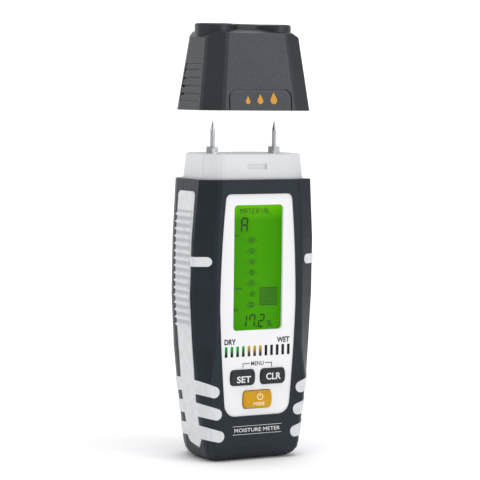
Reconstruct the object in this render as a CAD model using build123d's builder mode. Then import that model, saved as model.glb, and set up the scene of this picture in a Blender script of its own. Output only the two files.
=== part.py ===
from build123d import *
import math
import os

# Handheld pin moisture meter, modelled as it is assembled, in millimetres.
# +Z runs up the meter to its pins, the display faces -Y, and the origin is the middle of the base.
# The protective cap hangs above the pins, as it is just after it is pulled off.

os.makedirs("parts", exist_ok=True)

# ---------------------------------------------------------------- driving dimensions
CASE_TOP = 119.5  # shoulder where the two dark shells end
CASE_FRONT = -17.5
CASE_BACK = 17.9
FOOT_RADIUS = 6.5  # rounding of the base
WALL = 2.0
PARTING = -0.9  # depth of the joint between front and rear shell
LIP = 1.8  # thickness of the inward lip that holds the sensor head
GRIP_DEPTH = 1.0
GRIP_PROUD = 0.35
RIB_PROUD = 0.7
RIB_COUNT = 16
RIB_PITCH = 3.12
RIB_LOWEST = 57.8

PIN_X = 15.2
PIN_Y = -2.9
HEAD_TOP = 130.3
NUT_HEIGHT = 2.75
NUT_FLATS = 5.0
NEEDLE_RADIUS = 1.03
NEEDLE_TIP = 143.9
NEEDLE_POINT = 4.0

CAP_LIFT = 29.0
CAP_BOTTOM = CASE_TOP + CAP_LIFT
CAP_ROOF_EAVES = CAP_BOTTOM + 32.6
CAP_TOP = CAP_BOTTOM + 36.6
CAP_WALL = 1.2

PANEL_FRONT = -16.9
PANEL_BACK = -14.7
WINDOW_HALF = 12.0
WINDOW_LOW = 55.6
WINDOW_HIGH = 108.8
BAR_COUNT = 12
BAR_PITCH = 2.78
BAR_WIDTH = 1.3
BAR_LOW = 44.5
BAR_HIGH = 49.0
GREEN_BARS = 4
AMBER_BARS = 3

KEY_FRONT = -17.9
KEY_GAP = 0.25
KEY_FLANGE_FRONT = PANEL_BACK + 0.1
KEY_STEM_BACK = -12.4
# name, centre x, centre z, width, height of each key
KEYS = [
    ("set", -7.25, 35.65, 11.8, 6.4),
    ("clr", 7.5, 35.65, 12.0, 6.4),
    ("mode", 0.0, 26.1, 14.0, 7.4),
]

BOARD_FRONT = -9.0
BOARD_THICKNESS = 1.6
BOARD_BACK = BOARD_FRONT + BOARD_THICKNESS
BOARD_HALF = 21.0
BOARD_LOW = 12.0
BOARD_HIGH = 113.0

CELL_RADIUS = 5.2  # AAA cell
CELL_LENGTH = 44.5
CELL_X = 5.9
CELL_Y = 9.6
CELL_LOW = 32.5
TRAY_WALL = 2.2
TRAY_HALF = 12.2
TRAY_LOW = 29.6
TRAY_HIGH = 80.8
TRAY_FLOOR = 4.0  # depth of the tray's floor, its open side faces +Y

DOOR_HALF = 13.6
DOOR_HIGH = 84.0
DOOR_THICKNESS = 1.8
DOOR_GAP = 0.2
DOOR_PIVOT_Y = CASE_BACK - DOOR_THICKNESS / 2
DOOR_PIVOT_Z = 24.4

# x, z and far end of each pair of screw pillars
PILLARS = [(21.5, 108.0, -14.0), (16.5, 12.6, -16.0)]
PILLAR_RADIUS = 2.9
BOSS_RADIUS = 3.9
SCREW_RADIUS = 1.15
SCREW_HOLE = 1.2
SCREW_SEAT = 4.0
SCREW_HEAD_RADIUS = 2.4
COUNTERBORE_RADIUS = 2.8


# ---------------------------------------------------------------- shared shapes
def facing(depth):
    """Plane at y = depth that faces the user: its x is X, its y is Z."""
    return Plane.XZ.offset(-depth)


def level(height):
    return Plane.XY.offset(height)


def inset_corners(corners, inset):
    """Corners of the same convex outline with every edge moved in."""
    moved = []
    count = len(corners)
    for index in range(count):
        before, here, after = (Vector(*corners[(index + step) % count]) for step in (-1, 0, 1))
        incoming = (here - before).normalized()
        outgoing = (after - here).normalized()
        half_turn = math.radians(incoming.get_angle(outgoing)) / 2
        inward = Vector(-incoming.Y, incoming.X)
        shifted = here + inward * inset - incoming * inset * math.tan(half_turn)
        moved.append((shifted.X, shifted.Y))
    return moved


def bevelled(corners, sizes):
    """Each corner split in two, sizes being how far along its edges."""
    points = []
    count = len(corners)
    for index in range(count):
        before, here, after = (Vector(*corners[(index + step) % count]) for step in (-1, 0, 1))
        points.append(here + (before - here).normalized() * sizes[index])
        points.append(here + (after - here).normalized() * sizes[index])
    return points


def eight_sided(height, front, side, back, inset, shrink=0, bevels=(0.8, 0.8, 1.6, 3.0)):
    """Outline of a casing at one height.

    front, side and back are its half widths with their depths; side has a front and a rear depth.
    inset moves every wall in by the same amount, shrink draws the whole outline in as a foot does.
    """
    narrower = 1 - shrink / side[0]
    shallower = 1 - shrink / back[1]
    right = [
        (front[0] * narrower, front[1] * shallower),
        (side[0] * narrower, side[1] * shallower),
        (side[0] * narrower, side[2] * shallower),
        (back[0] * narrower, back[1] * shallower),
    ]
    left = [(-x, y) for x, y in reversed(right)]
    corners = inset_corners(right + left, inset)
    with BuildSketch(level(height), mode=Mode.PRIVATE) as outline:
        with BuildLine():
            Polyline(*bevelled(corners, bevels + bevels[::-1]), close=True)
        make_face()
    return outline.sketch


# height, front half width, side half width, depth of the side's front and rear edge, back half width
CASE_STATIONS = [
    (6.5, 20.6, 23.1, -13.4, 4.6, 16.8),
    (20.0, 21.9, 25.1, -13.2, 4.8, 18.4),
    (33.0, 23.9, 27.0, -12.8, 5.0, 19.9),
    (48.0, 21.3, 28.5, -12.0, 5.3, 21.4),
    (70.0, 21.2, 29.7, -12.3, 5.6, 22.4),
    (94.0, 21.0, 29.2, -13.5, 6.2, 22.0),
    (CASE_TOP, 18.8, 27.3, -14.3, 7.5, 20.5),
]
FOOT_STEPS = 4


def case_outline(station, height, inset, shrink=0):
    _, front, side, side_front, side_rear, back = station
    sides = (side, side_front, side_rear)
    return eight_sided(height, (front, CASE_FRONT), sides, (back, CASE_BACK), inset, shrink)


def case_body(inset, top=CASE_TOP):
    """Solid of the whole case, inset from its outer skin: a tapered barrel on a rounded foot."""
    foot_radius = FOOT_RADIUS - inset
    outlines = []
    for step in range(FOOT_STEPS):
        turn = math.radians(90 * step / FOOT_STEPS)
        height = FOOT_RADIUS - foot_radius * math.cos(turn)
        shrink = foot_radius * (1 - math.sin(turn))
        outlines.append(case_outline(CASE_STATIONS[0], height, inset, shrink))
    for station in CASE_STATIONS[:-1]:
        outlines.append(case_outline(station, station[0], inset))
    outlines.append(case_outline(CASE_STATIONS[-1], top, inset))
    with BuildPart(mode=Mode.PRIVATE) as body:
        loft(sections=outlines, ruled=True)
    return body.part


case_outer = case_body(0)
case_inner = case_body(WALL, CASE_TOP - LIP)
grip_floor = case_body(GRIP_DEPTH)
grip_skin = case_body(-GRIP_PROUD)
rib_skin = case_body(-RIB_PROUD)


def finish(piece, name):
    """Label a finished piece and write it."""
    piece.part.label = name
    export_step(piece.part, f"parts/{name}.step")


# ---------------------------------------------------------------- soft side grips
FINGER_COUNT = 3
FINGER_DROP = 9.5
FINGER_INWARD = 1.25
FINGER_RADIUS = 2.4
ROOT_X = -31.5  # outside the casing


def finger(number, tip_x, tip_z, root_low, root_high):
    """Slanted finger from the casing's left side towards its middle."""
    drop = number * FINGER_DROP
    tip = (tip_x + number * FINGER_INWARD, tip_z - drop)
    with BuildSketch(facing(0), mode=Mode.PRIVATE) as outline:
        with BuildLine():
            CenterArc(tip, FINGER_RADIUS, 0, 360)
            Line((ROOT_X, root_low - drop), (ROOT_X, root_high - drop))
        make_hull()
    return outline.sketch


with BuildPart() as grip_area:
    # the long strip on the flat side
    with BuildSketch(Plane.YZ.offset(ROOT_X)) as strip:
        with BuildLine():
            Line((-11.2, 114.5), (3.1, 114.5))
            Polyline((3.1, 114.5), (1.4, 69), (0.0, 46), (0.8, 28), (0.0, 9.2))
            Polyline((0.0, 9.2), (-1.6, 7.4), (-8.7, 5.8), (-11.2, 9.3))
            Polyline((-11.2, 9.3), (-10.6, 24), (-11.5, 40), (-10.9, 69), (-11.2, 114.5))
        make_face()
        fillet(strip.vertices().group_by(Axis.Y)[-1], 2.0)
    extrude(amount=12)
    # the finger in the middle of the height
    with BuildSketch(facing(-8)):
        with BuildLine():
            CenterArc((-24.7, 85.2), 2.05, 0, 360)
            Line((ROOT_X, 83.15), (ROOT_X, 87.25))
        make_hull()
    extrude(amount=16)
    # the lower fingers, long at the front and short at the back
    for number in range(FINGER_COUNT):
        extrude(finger(number, -21.2, 30.2, 30.4, 36.7), amount=25)
        extrude(finger(number, -24.6, 31.2, 30.4, 36.7), amount=-25)

with BuildPart() as rib_area:
    # each rib ends in a small point behind the strip
    for number in range(RIB_COUNT):
        height = RIB_LOWEST + number * RIB_PITCH
        rear = 1.4 + 0.037 * (height - 69)
        with BuildSketch(Plane.YZ.offset(ROOT_X)):
            with BuildLine():
                Polyline(
                    (-10.2, height - 0.55),
                    (rear - 0.3, height - 0.55),
                    (rear + 1.0, height),
                    (rear - 0.3, height + 0.55),
                    (-10.2, height + 0.55),
                    close=True,
                )
            make_face()
        extrude(amount=12)

with BuildPart() as left_grip:
    add(grip_skin)
    add(grip_area.part, mode=Mode.INTERSECT)
    ribs = rib_area.part.intersect(rib_skin)
    add(ribs)
    add(grip_floor, mode=Mode.SUBTRACT)
finish(left_grip, "left_grip")

with BuildPart() as right_grip:
    mirror(left_grip.part, about=Plane.YZ)
finish(right_grip, "right_grip")

with BuildPart() as grip_pockets:
    add(grip_area.part)
    add(rib_area.part)
    add(grip_floor, mode=Mode.SUBTRACT)
    mirror(about=Plane.YZ)


# ---------------------------------------------------------------- outlines shared by shells and head
def head_outline(height, front_half, front, side, side_front, side_rear, back_half, back):
    return eight_sided(
        height, (front_half, front), (side, side_front, side_rear), (back_half, back), 0
    )


HEAD_FOOT = (16.3, -15.3, 25.0, -11.6, 5.6, 17.5, 15.7)
HEAD_BODY_FOOT = (16.1, -15.1, 24.8, -11.6, 5.5, 17.3, 15.5)
HEAD_ROOF = (15.6, -14.3, 23.9, -10.9, 5.0, 16.5, 14.4)
HEAD_FLANGE_LOW = 114.6
HEAD_RIM = CASE_TOP + 0.9


def panel_outline(grow):
    """Outline of the pale face panel, widest a little above the middle of the meter."""
    with BuildSketch(facing(0), mode=Mode.PRIVATE) as outline:
        with BuildLine():
            Line((-16.1, 113.4), (16.1, 113.4))
            ThreePointArc((16.1, 113.4), (17.9, 90), (18.6, 66))
            ThreePointArc((18.6, 66), (17.6, 45), (15.6, 19.2))
            Line((15.6, 19.2), (-15.6, 19.2))
            ThreePointArc((-15.6, 19.2), (-17.6, 45), (-18.6, 66))
            ThreePointArc((-18.6, 66), (-17.9, 90), (-16.1, 113.4))
        make_face()
        fillet(outline.vertices().group_by(Axis.Y)[-1], 2.5)
        fillet(outline.vertices().group_by(Axis.Y)[0], 5.5)
        if grow:
            offset(amount=grow)
    return outline.sketch


def at_depth(outline, depth):
    """The same outline moved to another depth."""
    return outline.moved(Location((0, depth, 0)))


def pillar_places():
    for x, z, end in PILLARS:
        yield -x, z, end
        yield x, z, end


# ---------------------------------------------------------------- front shell
with BuildPart() as front_pillars:
    for x, z, end in pillar_places():
        with BuildSketch(facing(PARTING)):
            with Locations((x, z)):
                Circle(PILLAR_RADIUS)
        extrude(amount=PARTING - end)
    add(grip_floor, mode=Mode.INTERSECT)

with BuildPart() as front_shell:
    add(case_outer)
    split(bisect_by=facing(PARTING), keep=Keep.TOP)
    add(case_inner, mode=Mode.SUBTRACT)
    extrude(head_outline(HEAD_FLANGE_LOW, *HEAD_FOOT), amount=8, mode=Mode.SUBTRACT)
    add(front_pillars.part)
    add(grip_pockets.part, mode=Mode.SUBTRACT)
    extrude(at_depth(panel_outline(0.1), -20), amount=-6, mode=Mode.SUBTRACT)
    for x, z, end in pillar_places():
        with BuildSketch(facing(PARTING)):
            with Locations((x, z)):
                Circle(SCREW_HOLE)
        extrude(amount=10, mode=Mode.SUBTRACT)
finish(front_shell, "front_shell")

# ---------------------------------------------------------------- rear shell with the battery tray
with BuildPart() as rear_bosses:
    for x, z, end in pillar_places():
        with BuildSketch(facing(PARTING)):
            with Locations((x, z)):
                Circle(BOSS_RADIUS)
        extrude(amount=-20)
    add(grip_floor, mode=Mode.INTERSECT)

with BuildPart() as rear_shell:
    add(case_outer)
    split(bisect_by=facing(PARTING), keep=Keep.BOTTOM)
    add(case_inner, mode=Mode.SUBTRACT)
    extrude(head_outline(HEAD_FLANGE_LOW, *HEAD_FOOT), amount=8, mode=Mode.SUBTRACT)
    add(rear_bosses.part)
    add(grip_pockets.part, mode=Mode.SUBTRACT)
    # tray for the cells
    with BuildSketch(facing(CASE_BACK - WALL / 2)):
        with Locations((0, (TRAY_LOW + TRAY_HIGH) / 2)):
            Rectangle(2 * (TRAY_HALF + TRAY_WALL), TRAY_HIGH - TRAY_LOW + 2 * TRAY_WALL)
    extrude(amount=CASE_BACK - WALL / 2 - TRAY_FLOOR + TRAY_WALL)
    with BuildSketch(facing(CASE_BACK)):
        with Locations((0, (TRAY_LOW + TRAY_HIGH) / 2)):
            Rectangle(2 * TRAY_HALF, TRAY_HIGH - TRAY_LOW)
    extrude(amount=CASE_BACK - TRAY_FLOOR, mode=Mode.SUBTRACT)
    # opening for the door
    with BuildSketch(facing(CASE_BACK + 1)):
        with Locations((0, (DOOR_PIVOT_Z - 1.1 + DOOR_HIGH + DOOR_GAP) / 2)):
            Rectangle(2 * (DOOR_HALF + DOOR_GAP), DOOR_HIGH + DOOR_GAP - DOOR_PIVOT_Z + 1.1)
    extrude(amount=1 + DOOR_THICKNESS + DOOR_GAP, mode=Mode.SUBTRACT)
    # shallow bed for the rating label
    with BuildSketch(facing(CASE_BACK)):
        with Locations((0, 97)):
            RectangleRounded(30.4, 16.4, 1.5)
    extrude(amount=0.3, mode=Mode.SUBTRACT)
    for x, z, end in pillar_places():
        with BuildSketch(facing(PARTING)):
            with Locations((x, z)):
                Circle(SCREW_HOLE + 0.2)
        extrude(amount=-20, mode=Mode.SUBTRACT)
        with BuildSketch(facing(SCREW_SEAT)):
            with Locations((x, z)):
                Circle(COUNTERBORE_RADIUS)
        extrude(amount=-20, mode=Mode.SUBTRACT)
finish(rear_shell, "rear_shell")

with BuildPart() as housing_screws:
    for x, z, end in pillar_places():
        with BuildSketch(facing(SCREW_SEAT)):
            with Locations((x, z)):
                Circle(SCREW_RADIUS)
        extrude(amount=12)
        with BuildSketch(facing(SCREW_SEAT + 1.7)):
            with Locations((x, z)):
                Circle(SCREW_HEAD_RADIUS)
        extrude(amount=1.7)
        with BuildSketch(facing(SCREW_SEAT + 1.7)):
            with Locations((x, z)):
                Rectangle(2.6, 0.6)
                Rectangle(0.6, 2.6)
        extrude(amount=1.0, mode=Mode.SUBTRACT)
finish(housing_screws, "housing_screws")

with BuildPart() as rating_label:
    with BuildSketch(facing(CASE_BACK - 0.1)):
        with Locations((0, 97)):
            RectangleRounded(30, 16, 1.3)
    extrude(amount=0.2)
finish(rating_label, "rating_label")

# ---------------------------------------------------------------- battery door
with BuildPart() as battery_door:
    with BuildSketch(facing(CASE_BACK)):
        with BuildLine():
            Polyline(
                (-DOOR_HALF, DOOR_PIVOT_Z),
                (DOOR_HALF, DOOR_PIVOT_Z),
                (DOOR_HALF, DOOR_HIGH),
                (-DOOR_HALF, DOOR_HIGH),
                close=True,
            )
        make_face()
    extrude(amount=DOOR_THICKNESS)
    fillet(battery_door.edges().filter_by(Axis.Y).group_by(Axis.Z)[-1], 1.5)
    # rounded lower edge that rolls on the casing
    with BuildSketch(Plane.YZ.offset(-DOOR_HALF)):
        with Locations((DOOR_PIVOT_Y, DOOR_PIVOT_Z)):
            Circle(DOOR_THICKNESS / 2)
    extrude(amount=2 * DOOR_HALF)
    # two hooks that reach behind the casing
    for hook_x in (-8.0, 8.0):
        with BuildSketch(Plane.YZ.offset(hook_x - 2.5)):
            with BuildLine():
                Polyline(
                    (DOOR_PIVOT_Y - 0.5, DOOR_PIVOT_Z + 1.4),
                    (14.2, DOOR_PIVOT_Z + 1.4),
                    (14.2, DOOR_PIVOT_Z - 2.6),
                    (15.4, DOOR_PIVOT_Z - 2.6),
                    (15.4, DOOR_PIVOT_Z - 0.2),
                    (DOOR_PIVOT_Y - 0.5, DOOR_PIVOT_Z - 0.2),
                    close=True,
                )
            make_face()
        extrude(amount=5)
    # slots that free the spring latch, and the finger hollow on it
    with BuildSketch(facing(CASE_BACK + 1)):
        with Locations((-5.5, 79.0), (5.5, 79.0)):
            Rectangle(0.8, 11)
    extrude(amount=4, mode=Mode.SUBTRACT)
    with BuildSketch(Plane.YZ.offset(-4)):
        with BuildLine():
            Line((CASE_BACK + 1, 75.5), (CASE_BACK + 1, 81.5))
            ThreePointArc((CASE_BACK + 1, 75.5), (CASE_BACK - 1.0, 78.5), (CASE_BACK + 1, 81.5))
        make_face()
    extrude(amount=8, mode=Mode.SUBTRACT)
    # anti-slip ridges below the latch
    for number in range(5):
        with BuildSketch(facing(CASE_BACK)):
            with Locations((0, 66.0 - 2.4 * number)):
                SlotOverall(14 - 1.6 * number, 1.0)
        extrude(amount=0.4, mode=Mode.SUBTRACT)
finish(battery_door, "battery_door")

# ---------------------------------------------------------------- cells and their contacts
with BuildPart() as battery_left:
    with BuildSketch(level(CELL_LOW)):
        with Locations((-CELL_X, CELL_Y)):
            Circle(CELL_RADIUS)
    extrude(amount=CELL_LENGTH - 1.0)
    with BuildSketch(level(CELL_LOW + CELL_LENGTH - 1.0)):
        with Locations((-CELL_X, CELL_Y)):
            Circle(1.9)
    extrude(amount=1.0)
finish(battery_left, "battery_left")

with BuildPart() as battery_right:
    # the second cell lies the other way up
    with BuildSketch(level(CELL_LOW)):
        with Locations((CELL_X, CELL_Y)):
            Circle(1.9)
    extrude(amount=1.0)
    with BuildSketch(level(CELL_LOW + 1.0)):
        with Locations((CELL_X, CELL_Y)):
            Circle(CELL_RADIUS)
    extrude(amount=CELL_LENGTH - 1.0)
finish(battery_right, "battery_right")

SPRING_WIRE = 0.3
SPRING_RADIUS = 3.2
with BuildPart() as battery_springs:
    for spring_x, spring_low, spring_high in (
        (-CELL_X, TRAY_LOW + 0.5 + SPRING_WIRE, CELL_LOW - 0.05 - SPRING_WIRE),
        (CELL_X, CELL_LOW + CELL_LENGTH + 0.05 + SPRING_WIRE, TRAY_HIGH - 0.5 - SPRING_WIRE),
    ):
        spring_height = spring_high - spring_low
        with BuildLine() as coil:
            Helix(spring_height / 3, spring_height, SPRING_RADIUS, center=(spring_x, CELL_Y, spring_low))
        with BuildSketch(Plane(origin=coil.line @ 0, z_dir=coil.line % 0)):
            Circle(SPRING_WIRE)
        sweep(path=coil.line, is_frenet=True)
finish(battery_springs, "battery_springs")

with BuildPart() as battery_contacts:
    # one plate at each end of each cell, with a leg through the tray's floor to the board
    for plate_x, plate_z in (
        (-CELL_X, TRAY_LOW),
        (CELL_X, TRAY_LOW),
        (-CELL_X, TRAY_HIGH - 0.4),
        (CELL_X, TRAY_HIGH - 0.4),
    ):
        with BuildSketch(level(plate_z)):
            with Locations((plate_x, CELL_Y)):
                Rectangle(9.4, 9.0)
        extrude(amount=0.4)
finish(battery_contacts, "battery_contacts")

# ---------------------------------------------------------------- face panel and what shows through it
def key_outline(width, height, grow):
    """Key with softly bulging ends."""
    with BuildSketch(facing(0), mode=Mode.PRIVATE) as outline:
        half = width / 2 + grow
        tall = height / 2 + grow
        bulge = 0.5
        with BuildLine():
            Line((-half + bulge, -tall), (half - bulge, -tall))
            ThreePointArc((half - bulge, -tall), (half, 0), (half - bulge, tall))
            Line((half - bulge, tall), (-half + bulge, tall))
            ThreePointArc((-half + bulge, tall), (-half, 0), (-half + bulge, -tall))
        make_face()
        fillet(outline.vertices(), 1.7)
    return outline.sketch


def key_place(outline, x, z, depth):
    return outline.moved(Location((x, depth, z)))


def bar_x(number):
    return (number - (BAR_COUNT - 1) / 2) * BAR_PITCH


bar_middle = (BAR_LOW + BAR_HIGH) / 2
bar_height = BAR_HIGH - BAR_LOW
window_middle = (WINDOW_LOW + WINDOW_HIGH) / 2
window_height = WINDOW_HIGH - WINDOW_LOW

with BuildPart() as face_panel:
    extrude(at_depth(panel_outline(0), PANEL_FRONT), amount=PANEL_FRONT - PANEL_BACK)
    # flange behind the front shell
    extrude(at_depth(panel_outline(1.0), CASE_FRONT + WALL), amount=CASE_FRONT + WALL - PANEL_BACK)
    with BuildSketch(facing(PANEL_FRONT - 1)):
        with Locations((0, window_middle)):
            RectangleRounded(2 * WINDOW_HALF, window_height, 1.6)
    extrude(amount=-6, mode=Mode.SUBTRACT)
    # bed for the clear window
    with BuildSketch(facing(PANEL_BACK)):
        with Locations((0, window_middle)):
            RectangleRounded(2 * WINDOW_HALF + 3.0, window_height + 3.0, 1.6)
    extrude(amount=1.0, mode=Mode.SUBTRACT)
    with BuildSketch(facing(PANEL_FRONT - 1)):
        for number in range(BAR_COUNT):
            with Locations((bar_x(number), bar_middle)):
                Rectangle(BAR_WIDTH, bar_height)
    extrude(amount=-6, mode=Mode.SUBTRACT)
    for name, x, z, width, height in KEYS:
        hole = key_place(key_outline(width, height, KEY_GAP), x, z, PANEL_FRONT - 1)
        extrude(hole, amount=-6, mode=Mode.SUBTRACT)
finish(face_panel, "face_panel")

with BuildPart() as display_window:
    with BuildSketch(facing(PANEL_BACK - 1.0)):
        with Locations((0, window_middle)):
            RectangleRounded(2 * WINDOW_HALF + 2.8, window_height + 2.8, 1.5)
    extrude(amount=-1.0)
finish(display_window, "display_window")

# the light bars are the ends of light pipes, in three colours
bar_groups = {
    "green_bars": range(GREEN_BARS),
    "amber_bars": range(GREEN_BARS, GREEN_BARS + AMBER_BARS),
    "dark_bars": range(GREEN_BARS + AMBER_BARS, BAR_COUNT),
}
for group_name, numbers in bar_groups.items():
    with BuildPart() as bars:
        with BuildSketch(facing(PANEL_FRONT - 0.05)):
            for number in numbers:
                with Locations((bar_x(number), bar_middle)):
                    Rectangle(BAR_WIDTH - 0.04, bar_height - 0.04)
        extrude(amount=PANEL_FRONT - 0.05 - PANEL_BACK)
    finish(bars, group_name)

LED_HEIGHT = 0.8
with BuildPart() as led_baffle:
    with BuildSketch(facing(PANEL_BACK + 0.05)):
        with Locations((0, bar_middle)):
            RectangleRounded(BAR_PITCH * BAR_COUNT + 1.6, bar_height + 2.0, 0.8)
        for number in range(BAR_COUNT):
            with Locations((bar_x(number), bar_middle)):
                Rectangle(BAR_WIDTH + 0.5, bar_height, mode=Mode.SUBTRACT)
    extrude(amount=PANEL_BACK + 0.05 - BOARD_FRONT)
finish(led_baffle, "led_baffle")

with BuildPart() as led_chips:
    with BuildSketch(facing(BOARD_FRONT)):
        for number in range(BAR_COUNT):
            with Locations((bar_x(number), bar_middle)):
                Rectangle(1.2, 2.0)
    extrude(amount=LED_HEIGHT)
finish(led_chips, "led_chips")

# ---------------------------------------------------------------- keys, plungers and switches
KEY_EDGE = 0.35
SWITCH_SIZE = 6.0
SWITCH_FRONT = BOARD_FRONT - 2.6
PLUNGER_RADIUS = 1.7
for name, x, z, width, height in KEYS:
    with BuildPart() as key:
        key_top = key_place(key_outline(width, height, 0), x, z, KEY_FRONT)
        extrude(key_top, amount=KEY_FRONT - KEY_FLANGE_FRONT)
        chamfer(key.faces().sort_by(Axis.Y)[0].edges(), KEY_EDGE)
        extrude(
            key_place(key_outline(width, height, KEY_GAP + 0.5), x, z, KEY_FLANGE_FRONT),
            amount=-0.8,
        )
        with BuildSketch(facing(KEY_FLANGE_FRONT)):
            with Locations((x, z)):
                Circle(2.0)
        extrude(amount=KEY_FLANGE_FRONT - KEY_STEM_BACK)
    finish(key, f"key_{name}")

    with BuildPart() as plunger:
        with BuildSketch(facing(KEY_STEM_BACK)):
            with Locations((x, z)):
                Circle(PLUNGER_RADIUS)
        extrude(amount=KEY_STEM_BACK - (SWITCH_FRONT + 0.3))
    finish(plunger, f"plunger_{name}")

with BuildPart() as switch_bodies:
    for name, x, z, width, height in KEYS:
        with BuildSketch(facing(SWITCH_FRONT)):
            with Locations((x, z)):
                RectangleRounded(SWITCH_SIZE, SWITCH_SIZE, 0.5)
                Circle(PLUNGER_RADIUS + 0.1, mode=Mode.SUBTRACT)
        extrude(amount=-1.2)
        with BuildSketch(facing(SWITCH_FRONT + 1.2)):
            with Locations((x, z)):
                RectangleRounded(SWITCH_SIZE, SWITCH_SIZE, 0.5)
        extrude(amount=SWITCH_FRONT + 1.2 - BOARD_FRONT)
finish(switch_bodies, "switch_bodies")

# ---------------------------------------------------------------- display stack
GLASS_HALF = 13.2
GLASS_LOW = 54.6
GLASS_HIGH = 109.8
GLASS_THICKNESS = 1.1
GLASS_FRONT = PANEL_BACK + 0.1
LEDGE = 2.6  # strip of the rear glass that carries the contact pads

with BuildPart() as lcd_front_glass:
    with BuildSketch(facing(GLASS_FRONT)):
        with Locations((0, (GLASS_LOW + GLASS_HIGH) / 2)):
            Rectangle(2 * GLASS_HALF, GLASS_HIGH - GLASS_LOW)
    extrude(amount=-GLASS_THICKNESS)
finish(lcd_front_glass, "lcd_front_glass")

with BuildPart() as lcd_rear_glass:
    with BuildSketch(facing(GLASS_FRONT + GLASS_THICKNESS)):
        with Locations((0, (GLASS_LOW - LEDGE + GLASS_HIGH) / 2)):
            Rectangle(2 * GLASS_HALF, GLASS_HIGH - GLASS_LOW + LEDGE)
    extrude(amount=-GLASS_THICKNESS)
finish(lcd_rear_glass, "lcd_rear_glass")

light_front = GLASS_FRONT + 2 * GLASS_THICKNESS
with BuildPart() as backlight:
    with BuildSketch(facing(light_front)):
        with Locations((0, (GLASS_LOW + GLASS_HIGH) / 2)):
            Rectangle(2 * GLASS_HALF, GLASS_HIGH - GLASS_LOW)
    extrude(amount=light_front - (BOARD_FRONT - 0.1))
finish(backlight, "backlight")

with BuildPart() as contact_strip:
    with BuildSketch(facing(light_front)):
        with Locations((0, GLASS_LOW - LEDGE / 2)):
            Rectangle(2 * GLASS_HALF - 1, LEDGE - 1.0)
    extrude(amount=light_front - BOARD_FRONT)
finish(contact_strip, "contact_strip")

with BuildPart() as lcd_frame:
    with BuildSketch(facing(PANEL_BACK + 0.1)):
        with Locations((0, (GLASS_LOW - LEDGE + GLASS_HIGH) / 2)):
            Rectangle(2 * GLASS_HALF + 3.0, GLASS_HIGH - GLASS_LOW + LEDGE + 2.6)
            Rectangle(2 * GLASS_HALF + 0.1, GLASS_HIGH - GLASS_LOW + LEDGE + 0.1, mode=Mode.SUBTRACT)
    extrude(amount=PANEL_BACK + 0.1 - BOARD_FRONT)
finish(lcd_frame, "lcd_frame")

# ---------------------------------------------------------------- circuit board and its parts
with BuildPart() as circuit_board:
    with BuildSketch(facing(BOARD_FRONT)) as board:
        with Locations((0, (BOARD_LOW + BOARD_HIGH) / 2)):
            Rectangle(2 * BOARD_HALF, BOARD_HIGH - BOARD_LOW)
        chamfer(board.vertices().group_by(Axis.Y)[0], 4.0)
        for x, z, end in pillar_places():
            with Locations((x, z)):
                Circle(PILLAR_RADIUS + 0.3, mode=Mode.SUBTRACT)
        with Locations((-PIN_X, BOARD_HIGH), (PIN_X, BOARD_HIGH)):
            Rectangle(6, 4, mode=Mode.SUBTRACT)
    extrude(amount=-BOARD_THICKNESS)
finish(circuit_board, "circuit_board")

with BuildPart() as controller_chip:
    with BuildSketch(facing(BOARD_BACK + 1.5)):
        with Locations((0, 97)):
            Rectangle(9, 9)
    extrude(amount=1.4)
    # gull-wing legs along all four sides
    with BuildSketch(facing(BOARD_BACK + 0.5)):
        for step in range(8):
            along = (step - 3.5) * 1.0
            with Locations((along, 97 + 5.0), (along, 97 - 5.0)):
                Rectangle(0.4, 1.2)
            with Locations((5.0, 97 + along), (-5.0, 97 + along)):
                Rectangle(1.2, 0.4)
    extrude(amount=0.5)
finish(controller_chip, "controller_chip")

with BuildPart() as buzzer:
    with BuildSketch(facing(BOARD_BACK + 5.5)):
        with Locations((-13.5, 92)):
            Circle(6.0)
            Circle(1.0, mode=Mode.SUBTRACT)
    extrude(amount=5.5)
finish(buzzer, "buzzer")

with BuildPart() as capacitors:
    with BuildSketch(facing(BOARD_BACK + 6.0)):
        with Locations((12, 97), (12, 90)):
            Circle(2.5)
    extrude(amount=6.0)
finish(capacitors, "capacitors")

with BuildPart() as chip_resistors:
    with BuildSketch(facing(BOARD_BACK + 0.5)):
        with Locations((-1, 107)):
            with GridLocations(3.2, 2.0, 5, 3):
                Rectangle(1.6, 0.8)
    extrude(amount=0.5)
finish(chip_resistors, "chip_resistors")

# ---------------------------------------------------------------- sensor head
HEAD_WALL = 1.6
HEAD_ROOF_INNER = 127.3
SOCKET_RADIUS = 3.4
SOCKET_LOW = 119.5
SOCKET_TOP = 128.6
STUB_RADIUS = 1.95
THREAD_GAP = 0.05
STUB_LOW = 123.4
COLLAR_LOW = 121.8
COLLAR_RADIUS = 1.75
SOCKET_FLOOR = 121.6

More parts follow.
